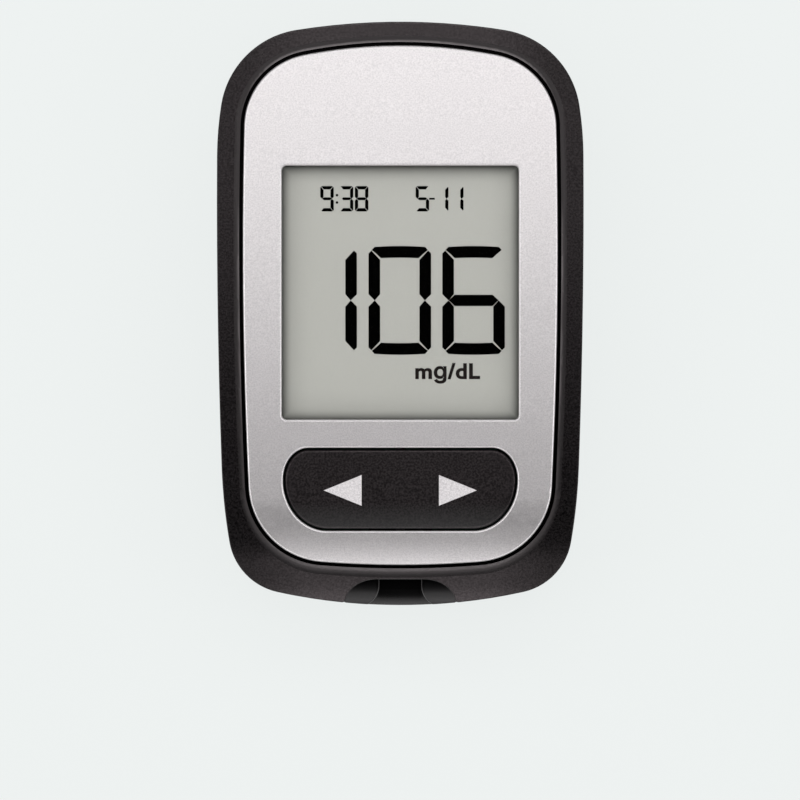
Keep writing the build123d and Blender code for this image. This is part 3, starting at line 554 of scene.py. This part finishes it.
# metal and board parts
metalLook = {
    "steel": {"low": (0.42, 0.42, 0.42), "high": (0.60, 0.60, 0.59), "rough": (0.25, 0.42)},
    "springSteel": {"low": (0.52, 0.51, 0.48), "high": (0.70, 0.69, 0.66), "rough": (0.18, 0.32)},
    "shieldCan": {"low": (0.50, 0.50, 0.49), "high": (0.64, 0.64, 0.63), "rough": (0.30, 0.48)},
    "cellSteel": {"low": (0.55, 0.55, 0.54), "high": (0.72, 0.72, 0.71), "rough": (0.20, 0.36)},
    "goldContact": {"low": (0.72, 0.48, 0.16), "high": (0.90, 0.64, 0.25), "rough": (0.18, 0.30)},
}
brushed = {"size": 0.12 * mm, "stretch": (0.04, 1.0, 1.0), "bump": 0.15, "depth": 0.01 * mm}


def metalMaterial(name):
    look = metalLook[name]
    material, tree, shader, place = startMaterial(name, Metallic=1.0)
    lines = noise(tree, stretchedPlace(tree, place, brushed["stretch"]), brushed["size"])
    colour = blendColours(tree, remap(tree, lines, 0, 1), look["low"], look["high"])
    tree.links.new(colour, shader.inputs["Base Color"])
    tree.links.new(remap(tree, lines, *look["rough"]), shader.inputs["Roughness"])
    addBump(tree, shader, lines, brushed["bump"], brushed["depth"])
    return material


cellContacts = [name for name in nodes if name.startswith(("negative_", "positive_"))]
dress(metalMaterial("steel"), "board_screws")
dress(metalMaterial("springSteel"), "left_switch_dome", "right_switch_dome", *cellContacts)
dress(metalMaterial("shieldCan"), "radio_module", "clock_crystal", "data_socket")
dress(metalMaterial("cellSteel"), "coin_cell_lower", "coin_cell_upper")
dress(metalMaterial("goldContact"), "strip_contacts")

mouldedLook = {
    "connectorBlack": {
        "low": (0.001, 0.001, 0.001),
        "high": (0.002, 0.002, 0.002),
        "rough": (0.5, 0.6),
        "gloss": 0.1,
    },
    "chipBlack": {
        "low": (0.015, 0.015, 0.015),
        "high": (0.026, 0.026, 0.026),
        "rough": (0.5, 0.65),
    },
    "adhesiveBlack": {
        "low": (0.010, 0.010, 0.010),
        "high": (0.020, 0.020, 0.020),
        "rough": (0.7, 0.85),
    },
    "holderWhite": {"low": (0.66, 0.66, 0.63), "high": (0.74, 0.74, 0.71), "rough": (0.40, 0.55)},
    "ceramicTan": {"low": (0.34, 0.25, 0.16), "high": (0.46, 0.35, 0.24), "rough": (0.5, 0.7)},
    "elastomerGrey": {"low": (0.25, 0.25, 0.28), "high": (0.58, 0.58, 0.62), "rough": (0.6, 0.75)},
}
mouldGrain = {"size": 0.3 * mm, "detail": 3.0, "bump": 0.4, "depth": 0.008 * mm, "gloss": 0.5}


def mouldedMaterial(name):
    look = mouldedLook[name]
    gloss = look.get("gloss", mouldGrain["gloss"])
    material, tree, shader, place = startMaterial(name, Specular_IOR_Level=gloss)
    grain = noise(tree, place, mouldGrain["size"], mouldGrain["detail"])
    colour = blendColours(tree, remap(tree, grain, 0, 1), look["low"], look["high"])
    tree.links.new(colour, shader.inputs["Base Color"])
    tree.links.new(remap(tree, grain, *look["rough"]), shader.inputs["Roughness"])
    addBump(tree, shader, grain, mouldGrain["bump"], mouldGrain["depth"])
    return material


dress(mouldedMaterial("connectorBlack"), "strip_connector", "data_socket_tongue")
dress(mouldedMaterial("chipBlack"), "microcontroller", "sounder")
dress(mouldedMaterial("adhesiveBlack"), "fascia_adhesive", "window_gasket")
dress(mouldedMaterial("holderWhite"), "lcd_holder")
dress(mouldedMaterial("ceramicTan"), "small_components")
dress(mouldedMaterial("elastomerGrey"), "elastomer_connector")

boardLook = {
    "resist": (0.010, 0.095, 0.040),
    "trace": (0.020, 0.170, 0.075),
    "traceSize": 2.2 * mm,
    "traceWidth": 0.12,
    "bump": 0.3,
    "traceDepth": 0.02 * mm,
    "roughness": 0.32,
}


def boardMaterial(look):
    material, tree, shader, place = startMaterial("boardGreen", Roughness=look["roughness"])
    traces = tree.nodes.new("ShaderNodeTexBrick")
    traces.inputs["Scale"].default_value = 1 / look["traceSize"]
    traces.inputs["Mortar Size"].default_value = look["traceWidth"]
    for socket, paint in (("Color1", "resist"), ("Color2", "resist"), ("Mortar", "trace")):
        traces.inputs[socket].default_value = (*look[paint], 1)
    tree.links.new(place, traces.inputs["Vector"])
    tree.links.new(traces.outputs["Color"], shader.inputs["Base Color"])
    addBump(tree, shader, traces.outputs["Fac"], look["bump"], look["traceDepth"])
    return material


dress(boardMaterial(boardLook), "circuit_board")
print("materials made")

# printed ink: thin sheets on the display's film and on the key
inkSheet = {"lift": 0.01 * mm, "thickness": 0.02 * mm, "grainSize": 0.2 * mm}
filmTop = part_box("lcd_front_polariser")[1].z + inkSheet["lift"]


def inkMaterial(name, look):
    material, tree, shader, place = startMaterial(
        name, Roughness=look["roughness"], Specular_IOR_Level=look["specular"]
    )
    grain = noise(tree, place, inkSheet["grainSize"])
    colour = blendColours(tree, remap(tree, grain, 0, 1), look["colour"], look["shade"])
    tree.links.new(colour, shader.inputs["Base Color"])
    return material


def finishInk(parts, name, material, body):
    piece = joinPieces(parts, name)
    activate(piece)
    bpy.ops.object.mode_set(mode="EDIT")
    bpy.ops.mesh.select_all(action="SELECT")
    bpy.ops.mesh.normals_make_consistent(inside=False)
    bpy.ops.object.mode_set(mode="OBJECT")
    applyModifier(piece, "SOLIDIFY", "sheet", thickness=inkSheet["thickness"], offset=1)
    piece.data.materials.clear()
    piece.data.materials.append(material)
    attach(piece, body)


def pictureX(x):
    return (x - camera["centreX"]) * camera["scale"]


def pictureY(y):
    return (camera["centreY"] - y) * camera["scale"]


# display segments
segmentInk = {
    "colour": (0.0004, 0.0004, 0.0003),
    "shade": (0.0008, 0.0008, 0.0006),
    "roughness": 0.6,
    "specular": 0.0,
}
segmentsFor = {
    "0": "abcdef",
    "1": "bc",
    "3": "abcdg",
    "5": "acdfg",
    "6": "acdefg",
    "8": "abcdefg",
    "9": "abcdfg",
}
bowSteps = 8  # divisions along a bowed bar


def cutSegment(piece, cuts):
    activate(piece)
    bpy.ops.object.mode_set(mode="EDIT")
    for point, direction in cuts:
        bpy.ops.mesh.select_all(action="SELECT")
        bpy.ops.mesh.bisect(plane_co=(*point, 0), plane_no=(*direction, 0), clear_outer=True)
    bpy.ops.object.mode_set(mode="OBJECT")


def flatBar(name, centre, size, columns=1):
    deselectAll()
    bpy.ops.mesh.primitive_grid_add(
        x_subdivisions=columns, y_subdivisions=1, size=1, location=(*centre, 0)
    )
    bar = bpy.context.view_layer.objects.active
    bar.scale = (*size, 1)
    bar.name = name
    applyPlace(bar)
    return bar


def makeSegments(style):
    halfWidth, halfHeight = style["width"] / 2, style["height"] / 2
    thick, gap, corner = style["thickness"], style["gap"], style["corner"]
    slant = (2**-0.5, 2**-0.5)
    made = {}
    # a, and its mirror d: a bar across, cut at its ends along the diagonals, and bowed outward
    across = flatBar("a", (0, halfHeight - thick / 2), (style["width"], thick), bowSteps)
    endPoint = halfWidth - gap
    cutSegment(
        across,
        [
            ((endPoint, halfHeight), (slant[0], -slant[1])),
            ((-endPoint, halfHeight), (-slant[0], -slant[1])),
            ((halfWidth - corner, halfHeight), slant),
            ((corner - halfWidth, halfHeight), (-slant[0], slant[1])),
        ],
    )
    for vertex in across.data.vertices:
        vertex.co.y += style["bow"] * (1 - (vertex.co.x / halfWidth) ** 2)
    made["a"] = across
    # b, and its mirrors c, e and f: a bar up the side, cut along the diagonal at its end and to a
    # point at the middle
    upright = flatBar("b", (halfWidth - thick / 2, halfHeight / 2), (thick, halfHeight))
    middle = halfWidth - thick / 2
    cutSegment(
        upright,
        [
            ((halfWidth, halfHeight - gap), (-slant[0], slant[1])),
            ((halfWidth - corner, halfHeight), slant),
            ((middle, gap / 2), (slant[0], -slant[1])),
            ((middle, gap / 2), (-slant[0], -slant[1])),
        ],
    )
    made["b"] = upright
    # g: a bar across the middle with two pointed ends
    reach = halfWidth - thick / 2 - gap
    bar = flatBar("g", (0, 0), (style["width"], thick * style["middleShare"]))
    cutSegment(
        bar,
        [
            ((reach, 0), slant),
            ((reach, 0), (slant[0], -slant[1])),
            ((-reach, 0), (-slant[0], slant[1])),
            ((-reach, 0), (-slant[0], -slant[1])),
        ],
    )
    made["g"] = bar
    return made


def mirroredCopy(piece, signX, signY):
    twin = piece.copy()
    twin.data = piece.data.copy()
    bpy.context.scene.collection.objects.link(twin)
    twin.scale = (signX, signY, 1)
    return twin


segmentMirror = {"b": (1, 1), "c": (1, -1), "e": (-1, -1), "f": (-1, 1)}


def makeDigit(masters, digit, place):
    parts = []
    for letter in segmentsFor[digit]:
        if letter in segmentMirror:
            part = mirroredCopy(masters["b"], *segmentMirror[letter])
        elif letter == "g":
            part = mirroredCopy(masters["g"], 1, 1)
        else:
            part = mirroredCopy(masters["a"], 1, 1 if letter == "a" else -1)
        part.location = (*place, filmTop)
        applyPlace(part)
        parts.append(part)
    return parts


readingStyle = {
    "width": 8.26 * mm,
    "height": 14.0 * mm,
    "thickness": 1.53 * mm,
    "gap": 0.11 * mm,  # sets the space between two bars
    "corner": 0.80 * mm,  # cut off at each outer corner
    "bow": 0.18 * mm,  # of the top and bottom bars
    "middleShare": 0.97,  # thickness of the middle bar, as a share of the others'
}
# middles, rows and the dash are at picture points
reading = {"text": "106", "middles": (325.1, 399.3, 473.15), "middleY": 299.85}
clockStyle = {
    "width": 1.78 * mm,
    "height": 3.34 * mm,
    "thickness": 0.43 * mm,
    "gap": 0.07 * mm,
    "corner": 0.2 * mm,
    "bow": 0.0,
    "middleShare": 0.85,
}
clock = {
    "text": "938",
    "middles": (326.45, 346.0, 361.1),
    "middleY": 198.15,
    "dotX": 336.45,
    "dotRows": (194.6, 201.9),
    "dotRadius": 0.17 * mm,
    "dotSides": 16,
}
date = {
    "text": "511",
    "middles": (421.9, 441.2, 456.3),
    "middleY": 198.15,
    "dashX": 431.5,
    "dashSize": (0.74 * mm, 0.24 * mm),
}


def makeRow(row, style):
    masters = makeSegments(style)
    parts = []
    for digit, x in zip(row["text"], row["middles"]):
        parts += makeDigit(masters, digit, (pictureX(x), pictureY(row["middleY"])))
    for master in masters.values():
        bpy.data.objects.remove(master)
    return parts


ink = inkMaterial("segmentInk", segmentInk)
finishInk(makeRow(reading, readingStyle), "reading_digits", ink, "meter_body")

clockParts = makeRow(clock, clockStyle)
for row in clock["dotRows"]:
    deselectAll()
    bpy.ops.mesh.primitive_circle_add(
        vertices=clock["dotSides"],
        radius=clock["dotRadius"],
        fill_type="NGON",
        location=(pictureX(clock["dotX"]), pictureY(row), filmTop),
    )
    dot = bpy.context.view_layer.objects.active
    applyPlace(dot)
    clockParts.append(dot)
finishInk(clockParts, "clock_digits", ink, "meter_body")

dateParts = makeRow(date, clockStyle)
dash = flatBar("dash", (pictureX(date["dashX"]), pictureY(date["middleY"])), date["dashSize"])
dash.location.z = filmTop
applyPlace(dash)
finishInk(dateParts + [dash], "date_digits", ink, "meter_body")

unit = {
    "text": "m\u0261/dL",  # with the single-storey g
    "left": 414.8,  # this, the right end and the baseline are picture points
    "right": 479.6,
    "baseline": 377.9,
    "capHeight": 2.03 * mm,
    "bold": 0.063,
    "spacing": 1.06,
    "colour": (0.017, 0.013, 0.012),
    "shade": (0.021, 0.016, 0.015),
    "roughness": 0.6,
    "specular": 0.1,
}


def makeUnit(look):
    deselectAll()
    bpy.ops.object.text_add()
    label = bpy.context.view_layer.objects.active
    label.data.body = look["text"]
    label.data.offset = look["bold"] / 2
    label.data.space_character = look["spacing"]
    bpy.ops.object.convert(target="MESH")
    left = min(v.co.x for v in label.data.vertices)
    right = max(v.co.x for v in label.data.vertices)
    capTop = max(v.co.y for v in label.data.vertices)
    stretch = (pictureX(look["right"]) - pictureX(look["left"])) / (right - left)
    label.scale = (stretch, look["capHeight"] / capTop, 1)
    label.location = (pictureX(look["left"]) - left * stretch, pictureY(look["baseline"]), filmTop)
    applyPlace(label)
    finishInk([label], "unit_label", inkMaterial("unitInk", look), "meter_body")


makeUnit(unit)
print("display drawn")

# arrows on the key
arrow = {
    "base": 5.1 * mm,
    "tip": 10.1 * mm,
    "halfHeight": 2.03 * mm,
    "middleY": -23.32 * mm,
    "lift": 0.005 * mm,
    "cuts": 11,  # in each side, enough to follow the key's crown
    "colour": (0.56, 0.534, 0.543),
    "shade": (0.80, 0.766, 0.777),
    "roughness": 0.55,
    "specular": 0.4,
}


def makeArrow(name, side, material):
    deselectAll()
    bpy.ops.mesh.primitive_circle_add(vertices=3, radius=1, fill_type="NGON")
    mark = bpy.context.view_layer.objects.active
    bpy.ops.object.mode_set(mode="EDIT")
    bpy.ops.mesh.select_all(action="SELECT")
    bpy.ops.mesh.subdivide(number_cuts=arrow["cuts"])
    bpy.ops.object.mode_set(mode="OBJECT")
    tip = max(v.co.y for v in mark.data.vertices)
    foot = min(v.co.y for v in mark.data.vertices)
    wide = max(v.co.x for v in mark.data.vertices)
    for vertex in mark.data.vertices:
        along = (vertex.co.y - foot) / (tip - foot)
        across = vertex.co.x / wide
        vertex.co = (
            side * (arrow["base"] + along * (arrow["tip"] - arrow["base"])),
            arrow["middleY"] + across * arrow["halfHeight"],
            cadBox[1].z,
        )
    applyModifier(
        mark,
        "SHRINKWRAP",
        "seat",
        target=nodes["rocker_key"],
        wrap_method="PROJECT",
        use_project_z=True,
        use_negative_direction=True,
        use_positive_direction=False,
        offset=arrow["lift"],
    )
    finishInk([mark], name, material, "rocker_key")


arrowInk = inkMaterial("arrowInk", arrow)
makeArrow("left_arrow", -1, arrowInk)
makeArrow("right_arrow", 1, arrowInk)
print("arrows printed")

# floor, world and lamps
backdrop = {
    "colour": (0.852, 0.884, 0.876),
    "pale": 1.003,  # how much paler its grain gets
    "grainSize": 3.0 * mm,
    "roughness": 0.9,
    "size": 6.0,  # in metres
    "lampShare": 0.09,  # share of the floor's light that comes from the lamps, and keeps the shadow
}


def backdropMaterial(look):
    material, tree, shader, place = startMaterial(
        "paleFloor", Roughness=look["roughness"], Specular_IOR_Level=0.0
    )
    grain = noise(tree, place, look["grainSize"])
    pale = tuple(c * look["pale"] for c in look["colour"])
    colour = blendColours(tree, remap(tree, grain, 0, 1), look["colour"], pale)
    tree.links.new(colour, shader.inputs["Base Color"])
    glow = tree.nodes.new("ShaderNodeEmission")
    glow.inputs["Color"].default_value = (*look["colour"], 1)
    rays = tree.nodes.new("ShaderNodeLightPath").outputs
    seen = combine(tree, "MAXIMUM", rays["Is Camera Ray"], rays["Is Glossy Ray"])
    seen = combine(tree, "MAXIMUM", seen, rays["Is Transmission Ray"])
    share = remap(tree, seen, 0, 1 - look["lampShare"], 0, 1)
    blendShaders(tree, share, shader.outputs["BSDF"], glow.outputs["Emission"])
    return material


deselectAll()
bpy.ops.mesh.primitive_plane_add(size=backdrop["size"], location=(0, 0, 0))
floor = bpy.context.view_layer.objects.active
floor.name = "floor"
floor.data.materials.append(backdropMaterial(backdrop))

studio = {"horizon": 0.90, "zenith": 0.02}


def makeStudio(look):
    world = bpy.data.worlds.new("studio")
    bpy.context.scene.world = world
    world.use_nodes = True
    tree = world.node_tree
    place = tree.nodes.new("ShaderNodeTexCoord").outputs["Generated"]
    height = splitAxes(tree, place)["Z"]
    strength = remap(tree, height, look["horizon"], look["zenith"], 0, 1)
    tree.links.new(strength, tree.nodes["Background"].inputs["Strength"])
    tree.nodes["Background"].inputs["Color"].default_value = (1, 1, 1, 1)


makeStudio(studio)

# soft boxes in one level ceiling, round a dark middle over the meter; places are in metres
ceiling = 0.5
lampSettings = {
    "topFar": {"across": (-0.5, 0.5), "along": (0.36, 0.60), "level": 2.77},
    "topMiddle": {"across": (-0.5, 0.5), "along": (0.22, 0.36), "level": 1.28},
    "topNear": {"across": (-0.5, 0.5), "along": (0.12, 0.22), "level": 0.63},
    "topInner": {"across": (-0.5, 0.5), "along": (0.02, 0.12), "level": 1.42},
    "topEdge": {"across": (-0.5, 0.5), "along": (-0.02, 0.02), "level": 0.50},
    "lowNear": {"across": (-0.5, 0.5), "along": (-0.42, -0.34), "level": 1.0},
    "lowBox": {"across": (-0.5, 0.5), "along": (-0.66, -0.42), "level": 0.75},
    "lowFar": {"across": (-0.5, 0.5), "along": (-0.95, -0.66), "level": 1.93},
    "leftBox": {"across": (-0.9, -0.5), "along": (-0.40, 0.10), "level": 3.0},
    "rightBox": {"across": (0.5, 0.9), "along": (-0.40, 0.10), "level": 2.8},
}


def makeLamp(name, look):
    low, high = [Vector(corner) for corner in zip(look["across"], look["along"])]
    data = bpy.data.lights.new(name, "AREA")
    data.shape = "RECTANGLE"
    data.size, data.size_y = high - low
    data.energy = look["level"] * pi * data.size * data.size_y
    lamp = bpy.data.objects.new(name, data)
    lamp.location = (*(low + high) / 2, ceiling)
    lamp.visible_camera = False
    bpy.context.scene.collection.objects.link(lamp)


for name, look in lampSettings.items():
    makeLamp(name, look)
print("lamps placed")
